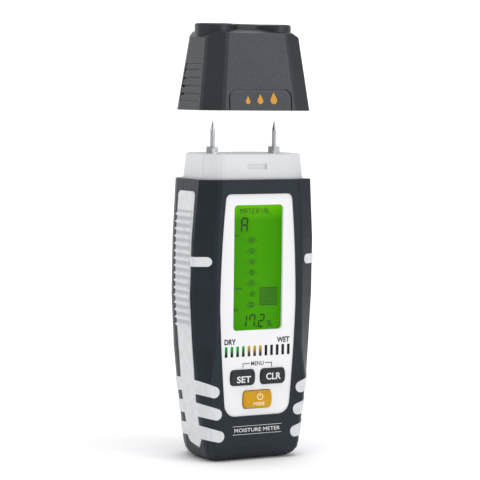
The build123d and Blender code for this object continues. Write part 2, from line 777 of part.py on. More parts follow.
with BuildPart() as sensor_head:
    # flange that the two shells clamp
    flange_outline = case_outline(CASE_STATIONS[-1], HEAD_FLANGE_LOW, WALL + 0.35)
    extrude(flange_outline, amount=CASE_TOP - LIP - 0.1 - HEAD_FLANGE_LOW)
    neck = eight_sided(
        HEAD_FLANGE_LOW,
        (HEAD_FOOT[0] - 0.1, HEAD_FOOT[1] + 0.1),
        (HEAD_FOOT[2] - 0.1, HEAD_FOOT[3], HEAD_FOOT[4]),
        (HEAD_FOOT[5], HEAD_FOOT[6] - 0.1),
        0,
    )
    extrude(neck, amount=CASE_TOP - HEAD_FLANGE_LOW)
    extrude(head_outline(CASE_TOP, *HEAD_FOOT), amount=HEAD_RIM - CASE_TOP)
    loft(sections=[head_outline(HEAD_RIM, *HEAD_BODY_FOOT), head_outline(HEAD_TOP, *HEAD_ROOF)])
    chamfer(sensor_head.faces().sort_by(Axis.Z)[-1].edges(), 0.4)
    # hollow from below
    loft(
        sections=[
            head_outline(HEAD_FLANGE_LOW, *[v - math.copysign(HEAD_WALL + 0.4, v) for v in HEAD_BODY_FOOT]),
            head_outline(HEAD_ROOF_INNER, *[v - math.copysign(HEAD_WALL, v) for v in HEAD_ROOF]),
        ],
        mode=Mode.SUBTRACT,
    )
    # bosses for the sockets
    with BuildSketch(level(SOCKET_LOW)):
        with Locations((-PIN_X, PIN_Y), (PIN_X, PIN_Y)):
            Circle(SOCKET_RADIUS + 1.3)
    extrude(amount=HEAD_ROOF_INNER - SOCKET_LOW)
    with BuildSketch(level(SOCKET_LOW)):
        with Locations((-PIN_X, PIN_Y), (PIN_X, PIN_Y)):
            Circle(SOCKET_RADIUS + 0.02)
    extrude(amount=SOCKET_TOP + 0.02 - SOCKET_LOW, mode=Mode.SUBTRACT)
    with BuildSketch(level(SOCKET_TOP)):
        with Locations((-PIN_X, PIN_Y), (PIN_X, PIN_Y)):
            Circle(STUB_RADIUS + 0.15)
    extrude(amount=4, mode=Mode.SUBTRACT)
    # notch that the cap snaps into
    with BuildSketch(facing(HEAD_FOOT[1] - 1)):
        with Locations((0, 124.9)):
            Rectangle(9.5, 2.2)
    extrude(amount=-(1 + 1.2), mode=Mode.SUBTRACT)
finish(sensor_head, "sensor_head")

for side, x in (("left", -PIN_X), ("right", PIN_X)):
    with BuildPart() as socket:
        with BuildSketch(level(SOCKET_LOW)):
            with Locations((x, PIN_Y)):
                Circle(SOCKET_RADIUS)
        extrude(amount=SOCKET_TOP - SOCKET_LOW)
        with BuildSketch(level(SOCKET_FLOOR)):
            with Locations((x, PIN_Y)):
                Circle(STUB_RADIUS + THREAD_GAP)
        extrude(amount=SOCKET_TOP - SOCKET_FLOOR, mode=Mode.SUBTRACT)
    finish(socket, f"socket_{side}")

    # needle with the collar that the nut presses down
    with BuildPart() as needle:
        with BuildSketch(level(COLLAR_LOW)):
            with Locations((x, PIN_Y)):
                Circle(COLLAR_RADIUS)
        extrude(amount=STUB_LOW - 0.05 - COLLAR_LOW)
        with BuildSketch(level(STUB_LOW - 0.05)):
            with Locations((x, PIN_Y)):
                Circle(NEEDLE_RADIUS)
        extrude(amount=NEEDLE_TIP - NEEDLE_POINT - STUB_LOW + 0.05)
        with BuildSketch(level(NEEDLE_TIP - NEEDLE_POINT)) as shoulder:
            with Locations((x, PIN_Y)):
                Circle(NEEDLE_RADIUS)
        with BuildSketch(level(NEEDLE_TIP)) as point:
            with Locations((x, PIN_Y)):
                Circle(0.12)
        loft(sections=[shoulder.sketch, point.sketch])
    finish(needle, f"needle_{side}")

    with BuildPart() as nut:
        with BuildSketch(level(HEAD_TOP + 0.05)):
            with Locations((x, PIN_Y)):
                RegularPolygon(NUT_FLATS / 2, 6, major_radius=False)
        extrude(amount=NUT_HEIGHT)
        with BuildSketch(level(STUB_LOW)):
            with Locations((x, PIN_Y)):
                Circle(STUB_RADIUS)
        extrude(amount=HEAD_TOP + 0.05 - STUB_LOW)
        with BuildSketch(level(STUB_LOW)):
            with Locations((x, PIN_Y)):
                Circle(NEEDLE_RADIUS + 0.07)
        extrude(amount=20, mode=Mode.SUBTRACT)
    finish(nut, f"nut_{side}")

    # lead from the socket's foot to the board
    with BuildPart() as lead:
        with BuildLine() as route:
            FilletPolyline(
                (x, PIN_Y, SOCKET_LOW),
                (x, PIN_Y, 114.5),
                (x, BOARD_BACK + 2.5, 112.0),
                (x, BOARD_BACK + 0.56, 106.0),
                radius=1.2,
            )
        with BuildSketch(Plane(origin=route.line @ 0, z_dir=route.line % 0)):
            Circle(0.55)
        sweep(path=route.line)
    finish(lead, f"lead_{side}")

# ---------------------------------------------------------------- cap with its self-test contacts
CAP_FOOT_OUTLINE = ((17.85, -17.3), (27.0, -13.3, 7.5), (19.5, 17.5))
CAP_ROOF_OUTLINE = ((13.75, -12.9), (21.9, -9.9, 4.4), (15.0, 13.1))
CAP_CEILING = 178.4
NECK_HALF = 3.5
BOSS_X = 14.0
BOSS_Y = -1.5
CAP_BOSS_RADIUS = 8.4
LABEL_HALF = 15.6
LABEL_TOP = 157.7
LABEL_GROOVE = 1.0
COMB_LOW = 152.3
COMB_HIGH = 168.2
RIDGE_PITCH = 3.4
RIDGE_GROOVES = 4


def cap_section(share, inset, height):
    """Outline of the cap, share of the way from its foot to its top."""
    mixed = []
    for foot_edge, roof_edge in zip(CAP_FOOT_OUTLINE, CAP_ROOF_OUTLINE):
        mixed.append(tuple(a + share * (b - a) for a, b in zip(foot_edge, roof_edge)))
    return eight_sided(height, *mixed, inset)


def cap_body(inset, low, high):
    """Tapered block of the cap, cut off level at both ends."""
    ends = []
    for height in (low, high):
        share = (height - CAP_BOTTOM) / (CAP_TOP + 1 - CAP_BOTTOM)
        ends.append(cap_section(share, inset, height))
    with BuildPart(mode=Mode.PRIVATE) as body:
        loft(sections=ends, ruled=True)
    return body.part


with BuildPart() as cap_shell:
    add(cap_body(0, CAP_BOTTOM, CAP_TOP + 1))
    # roof falls away to the front, the back and both sides
    with BuildSketch(Plane.YZ.offset(-30)):
        with BuildLine():
            Polyline(
                (-25, CAP_BOTTOM - 1),
                (-25, CAP_ROOF_EAVES - 2.55),
                (0, CAP_ROOF_EAVES + 3.1),
                (25, CAP_ROOF_EAVES - 2.55),
                (25, CAP_BOTTOM - 1),
                close=True,
            )
        make_face()
    extrude(amount=60, mode=Mode.INTERSECT)
    with BuildSketch(facing(-25)) as shoulders:
        with BuildLine():
            Polyline(
                (-30, CAP_BOTTOM - 1),
                (-30, CAP_ROOF_EAVES - 9.0),
                (-22.0, CAP_ROOF_EAVES - 1.4),
                (-12, CAP_ROOF_EAVES + 3.4),
                (12, CAP_ROOF_EAVES + 3.4),
                (22.0, CAP_ROOF_EAVES - 1.4),
                (30, CAP_ROOF_EAVES - 9.0),
                (30, CAP_BOTTOM - 1),
                close=True,
            )
        make_face()
        fillet(shoulders.vertices().group_by(Axis.Y)[-2], 4.0)
    extrude(amount=-50, mode=Mode.INTERSECT)
    # raised dog-bone top: two round ends above the pins and a narrow neck
    with BuildSketch(Plane(origin=(0, BOSS_Y, CAP_ROOF_EAVES - 3))) as plateau:
        with Locations((-BOSS_X, 0), (BOSS_X, 0)):
            Circle(CAP_BOSS_RADIUS)
        Rectangle(2 * BOSS_X, 2 * NECK_HALF)
        inner_corners = plateau.vertices().filter_by(lambda v: abs(abs(v.Y) - NECK_HALF) < 0.1)
        fillet(inner_corners, 5.0)
    extrude(amount=CAP_TOP - CAP_ROOF_EAVES + 3)
    chamfer(cap_shell.faces().sort_by(Axis.Z)[-1].edges(), 0.5)
    # hollow
    add(cap_body(CAP_WALL, CAP_BOTTOM - 0.5, CAP_CEILING), mode=Mode.SUBTRACT)
    # arched groove round the badge
    with BuildSketch(facing(-30)) as badge:
        with Locations((0, (LABEL_TOP + CAP_BOTTOM - 6) / 2)):
            RectangleRounded(2 * LABEL_HALF, LABEL_TOP - CAP_BOTTOM + 6, 3.5)
        with Locations((0, (LABEL_TOP - LABEL_GROOVE + CAP_BOTTOM - 8) / 2)):
            RectangleRounded(
                2 * (LABEL_HALF - LABEL_GROOVE),
                LABEL_TOP - LABEL_GROOVE - CAP_BOTTOM + 8,
                3.0,
                mode=Mode.SUBTRACT,
            )
    with BuildPart(mode=Mode.PRIVATE) as badge_groove:
        extrude(badge.sketch, amount=-20)
        add(cap_body(0.5, CAP_BOTTOM - 1, CAP_TOP), mode=Mode.SUBTRACT)
    add(badge_groove.part, mode=Mode.SUBTRACT)
    # finger ridges on both sides: level grooves that run into an upright slot at the rear
    with BuildPart(mode=Mode.PRIVATE) as comb:
        with BuildSketch(Plane.YZ.offset(-30)):
            with BuildLine():
                Polyline((6.9, COMB_LOW), (5.7, COMB_LOW), (3.7, COMB_HIGH), (4.9, COMB_HIGH), close=True)
            make_face()
            for number in range(RIDGE_GROOVES):
                with Locations((-2.2 - 0.1 * number, COMB_LOW + 2.9 + RIDGE_PITCH * number)):
                    Rectangle(14.6 - 0.4 * number, 1.0)
            with Locations((-1.5, COMB_LOW + 0.15), (-2.0, COMB_HIGH - 0.15)):
                Rectangle(14.8, 0.3)
        extrude(amount=15)
        add(cap_body(0.6, CAP_BOTTOM - 1, CAP_TOP), mode=Mode.SUBTRACT)
        mirror(about=Plane.YZ)
    add(comb.part, mode=Mode.SUBTRACT)
finish(cap_shell, "cap_shell")

CONTACT_LOW = NEEDLE_TIP + CAP_LIFT + 0.3
for side, x in (("left", -PIN_X), ("right", PIN_X)):
    # sprung brass plate that touches the pin's tip when the cap is on
    with BuildPart() as contact:
        with BuildSketch(level(CONTACT_LOW)):
            with Locations((x, PIN_Y)):
                Circle(2.6)
        extrude(amount=0.4)
        with BuildSketch(level(CONTACT_LOW + 0.4)):
            with Locations((x, PIN_Y)):
                Circle(1.2)
        extrude(amount=CAP_CEILING - CONTACT_LOW - 0.4)
    finish(contact, f"test_contact_{side}")

with BuildPart() as test_resistor:
    with BuildSketch(Plane.YZ.offset(-3.2)):
        with Locations((PIN_Y, CAP_CEILING - 1.3)):
            Circle(1.2)
    extrude(amount=6.4)
    with BuildSketch(Plane.YZ.offset(-PIN_X + 1.2)):
        with Locations((PIN_Y, CAP_CEILING - 1.3)):
            Circle(0.35)
    extrude(amount=2 * (PIN_X - 1.2))
finish(test_resistor, "test_resistor")
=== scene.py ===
import math

import bmesh
import bpy
from mathutils import Matrix, Vector


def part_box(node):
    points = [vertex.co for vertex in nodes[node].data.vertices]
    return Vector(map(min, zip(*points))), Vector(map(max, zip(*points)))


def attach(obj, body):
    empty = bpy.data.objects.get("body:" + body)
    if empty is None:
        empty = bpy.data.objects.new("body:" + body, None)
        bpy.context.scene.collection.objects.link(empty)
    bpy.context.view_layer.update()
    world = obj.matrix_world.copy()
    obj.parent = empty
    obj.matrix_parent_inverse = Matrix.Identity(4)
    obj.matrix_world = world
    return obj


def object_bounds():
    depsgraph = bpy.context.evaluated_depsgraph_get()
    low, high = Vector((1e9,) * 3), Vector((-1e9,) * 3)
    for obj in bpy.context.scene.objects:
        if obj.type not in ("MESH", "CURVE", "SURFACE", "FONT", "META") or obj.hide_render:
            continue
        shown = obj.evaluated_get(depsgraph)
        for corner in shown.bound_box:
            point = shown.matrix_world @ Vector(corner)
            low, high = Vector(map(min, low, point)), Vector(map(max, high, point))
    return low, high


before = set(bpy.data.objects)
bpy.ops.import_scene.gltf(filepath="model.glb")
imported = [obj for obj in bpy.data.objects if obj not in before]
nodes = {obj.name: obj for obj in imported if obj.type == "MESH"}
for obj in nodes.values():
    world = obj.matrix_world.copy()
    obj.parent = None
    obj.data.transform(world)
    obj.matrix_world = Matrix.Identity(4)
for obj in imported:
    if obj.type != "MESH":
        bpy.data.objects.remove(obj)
cad_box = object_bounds()
MM = 0.001

# ------------------------------------------------------------------ camera, floor and studio light
# The meter stands on a pale paper sweep. A small soft box to the right front lights the display side,
# and weaker ones on the left give the side its sheen. A wide one overhead fills the rest.
METER_HEIGHT = cad_box[1][2]
CAMERA_DISTANCE = 0.9408  # metres from the point it looks at
azimuth = math.radians(-30.0)
elevation = math.radians(4.053)
roll = math.radians(0.666)
aim = Vector((0.56 * MM, 0, 0.501 * METER_HEIGHT))
backwards = Vector(
    (math.sin(azimuth) * math.cos(elevation), -math.cos(azimuth) * math.cos(elevation), math.sin(elevation))
)
level_right = Vector((math.cos(azimuth), math.sin(azimuth), 0))
level_up = backwards.cross(level_right)
right = level_right * math.cos(roll) + level_up * math.sin(roll)
up = level_up * math.cos(roll) - level_right * math.sin(roll)
camera_data = bpy.data.cameras.new("camera")
camera_data.lens = 164.06
camera_data.sensor_width = 36
camera_data.clip_start = 0.01
camera = bpy.data.objects.new("camera", camera_data)
turn = Matrix((right, up, backwards)).transposed().to_4x4()
camera.matrix_world = Matrix.Translation(aim + backwards * CAMERA_DISTANCE) @ turn
bpy.context.scene.collection.objects.link(camera)
bpy.context.scene.camera = camera
bpy.context.scene.view_settings.view_transform = "Standard"


class Signal:
    """One socket of a finish. Arithmetic on it adds Math nodes, and node() adds any other node."""

    def __init__(self, tree, socket):
        self.tree = tree
        self.socket = socket

    def node(self, kind, settings=None, inputs=None, output=0):
        made = self.tree.nodes.new(kind)
        for key, value in (settings or {}).items():
            setattr(made, key, value)
        for key, value in (inputs or {}).items():
            if isinstance(value, Signal):
                self.tree.links.new(value.socket, made.inputs[key])
            else:
                made.inputs[key].default_value = value
        return Signal(self.tree, made.outputs[output])

    def maths(self, operation, first, second=0.0):
        return self.node("ShaderNodeMath", {"operation": operation}, {0: first, 1: second})

    def __add__(self, other):
        return self.maths("ADD", self, other)

    def __sub__(self, other):
        return self.maths("SUBTRACT", self, other)

    def __mul__(self, other):
        return self.maths("MULTIPLY", self, other)

    def __truediv__(self, other):
        return self.maths("DIVIDE", self, other)

    def __rsub__(self, other):
        return self.maths("SUBTRACT", other, self)

    def __rtruediv__(self, other):
        return self.maths("DIVIDE", other, self)

    __radd__ = __add__
    __rmul__ = __mul__

    def above(self, limit):
        return self.maths("GREATER_THAN", self, limit)

    def clamped(self):
        return self.node("ShaderNodeClamp", {}, {0: self})

    def size(self):
        return self.maths("ABSOLUTE", self)

    def fraction(self):
        return self.maths("FRACT", self)

    def wave(self, length_mm):
        """Even waves along this value, from -1 to 1."""
        return self.maths("SINE", self * (math.tau / (length_mm * MM)))

    def axis(self, name):
        return self.node("ShaderNodeSeparateXYZ", {}, {0: self}, "XYZ".index(name))

    def noise(self, grain_mm, detail=2.0, roughness=0.5):
        """Cloudy value whose grains are about grain_mm across."""
        inputs = {"Vector": self, "Scale": 1 / (grain_mm * MM), "Detail": detail, "Roughness": roughness}
        return self.node("ShaderNodeTexNoise", {}, inputs)

    def between(self, low, high):
        """This value, taken from low..high to 0..1."""
        return ((self - low) / (high - low)).clamped()

    def blend(self, dark, light):
        """Colour from dark to light as this value goes from 0 to 1."""
        return self.node("ShaderNodeMix", {"data_type": "RGBA"}, {0: self, 6: dark, 7: light}, 2)


def colour(red, green, blue):
    """Colour as a screen shows it, 0 to 255, in the renderer's linear light."""
    linear = [((c / 255 + 0.055) / 1.055) ** 2.4 if c > 10 else c / 255 / 12.92 for c in (red, green, blue)]
    return (*linear, 1.0)


def new_finish(name):
    """Empty finish: its material, and the place on the piece as a signal."""
    material = bpy.data.materials.new(name)
    material.use_nodes = True
    tree = material.node_tree
    tree.nodes.clear()
    place = Signal(tree, tree.nodes.new("ShaderNodeTexCoord").outputs["Object"])
    return material, place


def edge_highlight_and_polish(place, reach_mm):
    """Patchy value that is 1 near an edge within reach_mm, else 0: where a highlight is painted and the edge
    is smoother.
    """
    rounded = place.node("ShaderNodeBevel", {"samples": 4}, {"Radius": reach_mm * MM})
    flat = place.node("ShaderNodeNewGeometry", {}, {}, 1)
    alike = place.node("ShaderNodeVectorMath", {"operation": "DOT_PRODUCT"}, {0: rounded, 1: flat}, 1)
    patchy = place.noise(2.5, detail=4.0, roughness=0.6)
    return ((1 - alike) * 9.0 * patchy).clamped()


def coat_surface(place, inputs, relief=None, relief_mm=0.01):
    """Ends a finish: the surface shader, with an optional fine relief."""
    if relief is not None:
        bump = {"Height": relief, "Strength": 1.0, "Distance": relief_mm * MM}
        inputs = {**inputs, "Normal": place.node("ShaderNodeBump", {}, bump)}
    shader = place.node("ShaderNodeBsdfPrincipled", {}, inputs)
    out = place.tree.nodes.new("ShaderNodeOutputMaterial")
    place.tree.links.new(shader.socket, out.inputs["Surface"])


def dress(material, *names):
    """Gives a finish to carried-over parts."""
    for name in names:
        slots = nodes[name].data.materials
        slots.clear()
        slots.append(material)


# side view of the sweep, as depth and height in metres: flat, then a quarter circle, then upright
FLOOR_NEAR = -1.6
FLOOR_HALF = 2.0
BEND_RADIUS = 0.5
BEND_STEPS = 8
BACKDROP_HEIGHT = 2.0
floor_mesh = bmesh.new()
profile = [(FLOOR_NEAR, 0.0), (BEND_RADIUS, 0.0)]
for step in range(1, BEND_STEPS + 1):
    bend = math.radians(90 * step / BEND_STEPS)
    profile.append((BEND_RADIUS + BEND_RADIUS * math.sin(bend), BEND_RADIUS - BEND_RADIUS * math.cos(bend)))
profile.append((2 * BEND_RADIUS, BACKDROP_HEIGHT))
rows = []
for depth, height in profile:
    rows.append([floor_mesh.verts.new((side, depth, height)) for side in (-FLOOR_HALF, FLOOR_HALF)])
for near, far in zip(rows, rows[1:]):
    floor_mesh.faces.new((near[0], near[1], far[1], far[0]))
floor_data = bpy.data.meshes.new("floor")
floor_mesh.to_mesh(floor_data)
floor = bpy.data.objects.new("floor", floor_data)
floor.rotation_euler = (0, 0, azimuth)
bpy.context.scene.collection.objects.link(floor)
paper, place = new_finish("studio_paper")
coat_surface(place, {"Base Color": colour(246, 246, 247), "Roughness": 0.9})
floor_data.materials.append(paper)

world = bpy.data.worlds.new("studio")
world.use_nodes = True
world.node_tree.nodes["Background"].inputs["Color"].default_value = (1, 1, 1, 1)
world.node_tree.nodes["Background"].inputs["Strength"].default_value = 0.48
bpy.context.scene.world = world


def soft_box(name, bearing, height, distance, width, tall, watts):
    """Rectangular lamp at a bearing in degrees and a distance in metres, turned to the meter's middle."""
    data = bpy.data.lights.new(name, "AREA")
    data.shape = "RECTANGLE"
    data.size = width
    data.size_y = tall
    data.energy = watts
    lamp = bpy.data.objects.new(name, data)
    angle = math.radians(bearing)
    spot = Vector((math.sin(angle) * distance, -math.cos(angle) * distance, height))
    lamp.matrix_world = Matrix.Translation(spot) @ (spot - aim).to_track_quat("Z", "Y").to_matrix().to_4x4()
    bpy.context.scene.collection.objects.link(lamp)
    return lamp


soft_box("front_box", 31, 0.42, 1.0, 0.3, 0.4, 2.6)
soft_box("rear_left_box", -152, 0.30, 0.8, 0.3, 0.4, 0.5)
soft_box("left_box", -84, 0.62, 0.7, 0.35, 0.4, 1.3)
soft_box("top_box", 0, 1.3, 0.1, 0.9, 0.9, 9.0)

# A low lamp behind the meter washes the backdrop and points up along it.
behind = Vector((-math.sin(azimuth), math.cos(azimuth), 0))
backdrop_spot = behind * 0.25 + Vector((0, 0, 0.75))
backdrop_lamp = soft_box("backdrop_box", 0, 0, 0, 1.6, 0.5, 3.5)
upward = (Vector((0, 0, 0.3)) - behind).to_track_quat("Z", "Y").to_matrix().to_4x4()
backdrop_lamp.matrix_world = Matrix.Translation(backdrop_spot) @ upward

# ------------------------------------------------------------------ hard shells and battery door
# Front and rear shell, and the door over the cells, are moulded in dark grey plastic.
# The mould is spark eroded, so the skin has a fine even grain; the edges are smoother and carry a painted
# highlight.
def moulded_plastic(
    name, dark, light, edge_highlight, grain_mm, relief_mm, roughness, gloss=0.42, tint=0.76, seam=None
):
    """Spark-eroded plastic: fine grain, faint patches, and smoother edges with a painted highlight.

    tint is the red share of its sheen, and seam the depth of a dark joint line.
    """
    material, place = new_finish(name)
    grain = place.noise(grain_mm, detail=3.0)
    edges = edge_highlight_and_polish(place, 0.35)
    skin = place.noise(14.0).between(0.3, 0.7).blend(dark, light)
    # Painted highlight: near edges the colour is lightened towards the edge highlight colour.
    skin = edges.blend(skin, edge_highlight)
    relief = grain
    if seam is not None:
        joint_line = 1 - (place.axis("Y") - seam).size().between(0.24 * MM, 0.46 * MM)
        skin = joint_line.blend(skin, colour(3, 3, 4))
        relief = grain - joint_line * 12
    coat_surface(
        place,
        {
            "Base Color": skin,
            "Roughness": roughness + grain * 0.14 - edges * 0.12,
            "Specular IOR Level": gloss,
            "Specular Tint": (tint, (1 + tint) / 2, 1.0, 1.0),
        },
        relief=relief,
        relief_mm=relief_mm,
    )
    return material


# Colour of the painted highlight along the edges of the shells and door.
SHELL_EDGE_HIGHLIGHT = colour(44, 49, 56)
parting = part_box("front_shell")[1].y
shell_finish = moulded_plastic(
    "shell_plastic", colour(15, 20, 25), colour(19, 24, 30), SHELL_EDGE_HIGHLIGHT, 0.4, 0.018, 0.33, seam=parting
)
dress(shell_finish, "front_shell", "rear_shell")
door_finish = moulded_plastic(
    "door_plastic", colour(15, 20, 25), colour(19, 24, 30), SHELL_EDGE_HIGHLIGHT, 0.4, 0.02, 0.36
)
dress(door_finish, "battery_door")

# ------------------------------------------------------------------ soft side grips
# Pale grey rubber is moulded over both shells: a ribbed strip with fingers that wrap the corners.
# It is softer and duller than the shells, and the valleys between the ribs are painted darker as shade.
RIB_PITCH = 3.12 * MM
LOWEST_RIB = 57.8 * MM
RIBS_UP = 15.6  # pitches from the lowest rib to the end of the ribbed stretch
STRIP_FRONT = -10.9 * MM  # depth of the strip's front edge
grip_finish, place = new_finish("grip_rubber")
grain = place.noise(0.25, detail=4.0)
dust = place.noise(3.0, detail=5.0, roughness=0.65).between(0.42, 0.75)
ribs_up = (place.axis("Z") - LOWEST_RIB) / RIB_PITCH
# Painted shade: the valleys between the ribs on the strip are darkened.
painted_valley_shade = (ribs_up.fraction() - 0.5).size().between(0.32, 0.12)
on_strip = place.axis("Y").above(STRIP_FRONT) * ribs_up.above(-0.2) * (RIBS_UP - ribs_up).above(0.0)
rubber = dust.blend(colour(222, 224, 227), colour(206, 208, 212))
coat_surface(
    place,
    {
        "Base Color": (painted_valley_shade * on_strip * 0.75).blend(rubber, colour(176, 178, 182)),
        "Roughness": 0.52 + grain * 0.2,
        "Specular IOR Level": 0.35,
    },
    relief=grain,
    relief_mm=0.01,
)
dress(grip_finish, "left_grip", "right_grip")

# ------------------------------------------------------------------ face panel with its printing
# One white panel fills the front shell. Its legends are screen printed in black ink:
# the dry and wet ends of the scale, and the bracket that ties the two upper keys together.
panel_finish, place = new_finish("panel_plastic")
grain = place.noise(0.18, detail=2.0)
coat_surface(
    place,
    {
        "Base Color": place.noise(20.0).between(0.3, 0.7).blend(colour(240, 240, 243), colour(244, 244, 247)),
        "Roughness": 0.33 + grain * 0.1,
    },
    relief=grain,
    relief_mm=0.004,
)
dress(panel_finish, "face_panel")


def ink_finish(name, tone, roughness=0.45):
    """Thin layer of printing ink, slightly uneven where the screen left it thinner."""
    material, place = new_finish(name)
    weave = place.noise(0.12, detail=2.0)
    thinner = tuple(channel * 1.25 for channel in tone[:3]) + (1.0,)
    coat_surface(
        place,
        {"Base Color": weave.between(0.35, 0.75).blend(tone, thinner), "Roughness": roughness + weave * 0.1},
        relief=weave,
        relief_mm=0.004,
    )
    return material


black_ink = ink_finish("black_ink", colour(28, 28, 31))
INK = 0.03  # thickness of a printed layer in mm
SUNK = 0.02  # how far its back reaches into the surface below


def add_piece(name, mesh, body, material):
    """Puts a finished mesh, in metres, on a body."""
    mesh.materials.clear()
    mesh.materials.append(material)
    piece = bpy.data.objects.new(name, mesh)
    bpy.context.scene.collection.objects.link(piece)
    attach(piece, body)
    return piece


def flat_shapes(name, outlines, depth, body, material, facing=-1):
    """Thin upright shapes from outlines of (x, z) points in mm; facing is as in lettering."""
    shapes = bmesh.new()
    for outline in outlines:
        front = [shapes.verts.new((x * MM, (depth + facing * INK) * MM, z * MM)) for x, z in outline]
        back = [shapes.verts.new((x * MM, (depth - facing * SUNK) * MM, z * MM)) for x, z in outline]
        shapes.faces.new(front)
        shapes.faces.new(back[::-1])
        for index in range(len(outline)):
            follow = (index + 1) % len(outline)
            shapes.faces.new((front[follow], front[index], back[index], back[follow]))
    bmesh.ops.recalc_face_normals(shapes, faces=shapes.faces)
    mesh = bpy.data.meshes.new(name)
    shapes.to_mesh(mesh)
    shapes.free()
    return add_piece(name, mesh, body, material)


def bar(left, right, low, high):
    """Outline of an upright or level bar."""
    return [(left, low), (right, low), (right, high), (left, high)]


def lettering(name, words, box, depth, body, material, weight=0.0, facing=-1):
    """Printed words that fill a box of left, right, low and high in mm.

    facing is -1 for print that looks forwards and 1 for print that looks backwards.
    """
    left, right, low, high = box
    text = bpy.data.curves.new(name, "FONT")
    text.body = words
    text.size = 1.0
    text.offset = weight
    text.extrude = 0.1
    text.resolution_u = 5
    carrier = bpy.data.objects.new(name, text)
    bpy.context.scene.collection.objects.link(carrier)
    bpy.context.view_layer.update()
    shown = carrier.evaluated_get(bpy.context.evaluated_depsgraph_get())
    mesh = bpy.data.meshes.new_from_object(shown)
    bpy.data.objects.remove(carrier)
    bpy.data.curves.remove(text)
    xs = [vertex.co.x for vertex in mesh.vertices]
    ys = [vertex.co.y for vertex in mesh.vertices]
    for vertex in mesh.vertices:
        across = (vertex.co.x - min(xs)) / (max(xs) - min(xs))
        upward = (vertex.co.y - min(ys)) / (max(ys) - min(ys))
        front = vertex.co.z > 0
        vertex.co = (
            (left + across * (right - left)) * MM * -facing,
            (depth + facing * (INK if front else -SUNK)) * MM,
            (low + upward * (high - low)) * MM,
        )
    return add_piece(name, mesh, body, material)


panel_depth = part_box("face_panel")[0].y / MM
panel_words = {
    "legend_dry": ("DRY", (-16.2, -10.6, 49.8, 52.2), 0.04),
    "legend_wet": ("WET", (9.5, 15.8, 49.8, 52.2), 0.04),
    "legend_menu": ("MENU", (-3.1, 3.1, 40.5, 42.3), 0.015),
}
for name, (word, box, weight) in panel_words.items():
    lettering(name, word, box, panel_depth, "case", black_ink, weight)
bracket_lines = []
for side in (-1, 1):
    reach = 7.2 * side
    inner = 3.8 * side
    bracket_lines.append(bar(*sorted((inner, reach)), 41.3, 41.65))
    bracket_lines.append(bar(*sorted((reach, reach - 0.32 * side)), 39.5, 41.65))
flat_shapes("menu_bracket", bracket_lines, panel_depth, "case", black_ink)

# ------------------------------------------------------------------ name line below the panel
# Two thin rules with the kind of instrument between them, printed in white on the dark shell.
white_ink = ink_finish("white_ink", colour(226, 227, 229))
shell_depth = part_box("front_shell")[0].y / MM
rules = [bar(-12.0, 12.0, 14.85, 15.0), bar(-12.0, 12.0, 11.35, 11.5)]
flat_shapes("name_rules", rules, shell_depth, "case", white_ink)
name_box = (-11.2, 11.2, 12.4, 14.0)
lettering("name_line", "MOISTURE METER", name_box, shell_depth, "case", white_ink, 0.003)

# ------------------------------------------------------------------ display
# A clear window lies behind the panel, and the display glass behind that, lit green from the back.
# The segments are dark where the liquid crystal is switched on. The light is strongest at the top.
window_finish, place = new_finish("clear_window")
smears = place.noise(6.0, detail=4.0, roughness=0.7)
coat_surface(
    place,
    {
        "Base Color": colour(20, 30, 18),
        "Roughness": 0.04 + smears.between(0.5, 0.8) * 0.1,
        "Alpha": 0.04,
        "Specular IOR Level": 0.1,
    },
)
dress(window_finish, "display_window")

glass_low, glass_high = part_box("lcd_front_glass")
glass_finish, place = new_finish("lcd_glass")
height = place.axis("Z").between(glass_low.z, glass_high.z)
across = (place.axis("X") / glass_high.x).size()
top_glow = height.between(0.86, 1.0)
middle_glow = (1 - across) * 0.35
cells = place.noise(0.3, detail=1.0)
stripes = place.axis("X").between(0.3 * glass_high.x, 0.9 * glass_high.x) * place.axis("X").wave(1.6)
lit = (top_glow * 0.75 + middle_glow * 0.45 + stripes * 0.12 + cells * 0.06).clamped()
glow = lit.blend(colour(52, 134, 0), colour(112, 204, 0))
coat_surface(
    place,
    {
        "Base Color": colour(30, 80, 0),
        "Roughness": 0.22 + cells * 0.06,
        "Specular IOR Level": 0.08,
        "Emission Color": glow,
        "Emission Strength": 0.95,
    },
)
dress(glass_finish, "lcd_front_glass", "lcd_rear_glass")

crystal_finish = ink_finish("crystal_dark", colour(4, 18, 1), 0.6)
glass_depth = glass_low.y / MM
SEGMENT_ENDS = {
    "a": ((0, 2), (1, 2)),
    "b": ((1, 2), (1, 1)),
    "c": ((1, 1), (1, 0)),
    "d": ((0, 0), (1, 0)),
    "e": ((0, 1), (0, 0)),
    "f": ((0, 2), (0, 1)),
    "g": ((0, 1), (1, 1)),
    "i": ((0.5, 2), (0.5, 0)),
    "k": ((0, 2), (0.5, 1.1)),
    "l": ((0.5, 1.1), (1, 2)),
    "r": ((0.35, 1), (1, 0)),
}
FIGURES = {"0": "abcdef", "1": "bc", "2": "abged", "3": "abcdg", "4": "bcfg", "5": "acdfg"}
FIGURES |= {"6": "acdefg", "7": "abcf", "-": "g", "M": "bcefkl", "A": "abcefg", "T": "ai"}
FIGURES |= {"E": "adefg", "R": "abefgr", "I": "i", "L": "def"}


def segments(figures, left, low, width, tall, pitch, stroke, lean=0.0):
    """Outlines of the switched-on segments of a row of figures, pointed at both ends; sizes in mm."""
    outlines = []
    for place_in_row, figure in enumerate(figures):
        for letter in FIGURES[figure]:
            (x0, z0), (x1, z1) = SEGMENT_ENDS[letter]
            side = left + place_in_row * pitch
            start = Vector((side + x0 * width, low + z0 * tall / 2))
            end = Vector((side + x1 * width, low + z1 * tall / 2))
            along = (end - start).normalized()
            across = Vector((-along.y, along.x)) * stroke / 2
            start = start + along * stroke * 0.1
            end = end - along * stroke * 0.1
            near = start + along * stroke / 2
            far = end - along * stroke / 2
            points = [start, near + across, far + across, end, far - across, near - across]
            outlines.append([(p.x + (p.y - low) * lean, p.y) for p in points])
    return outlines


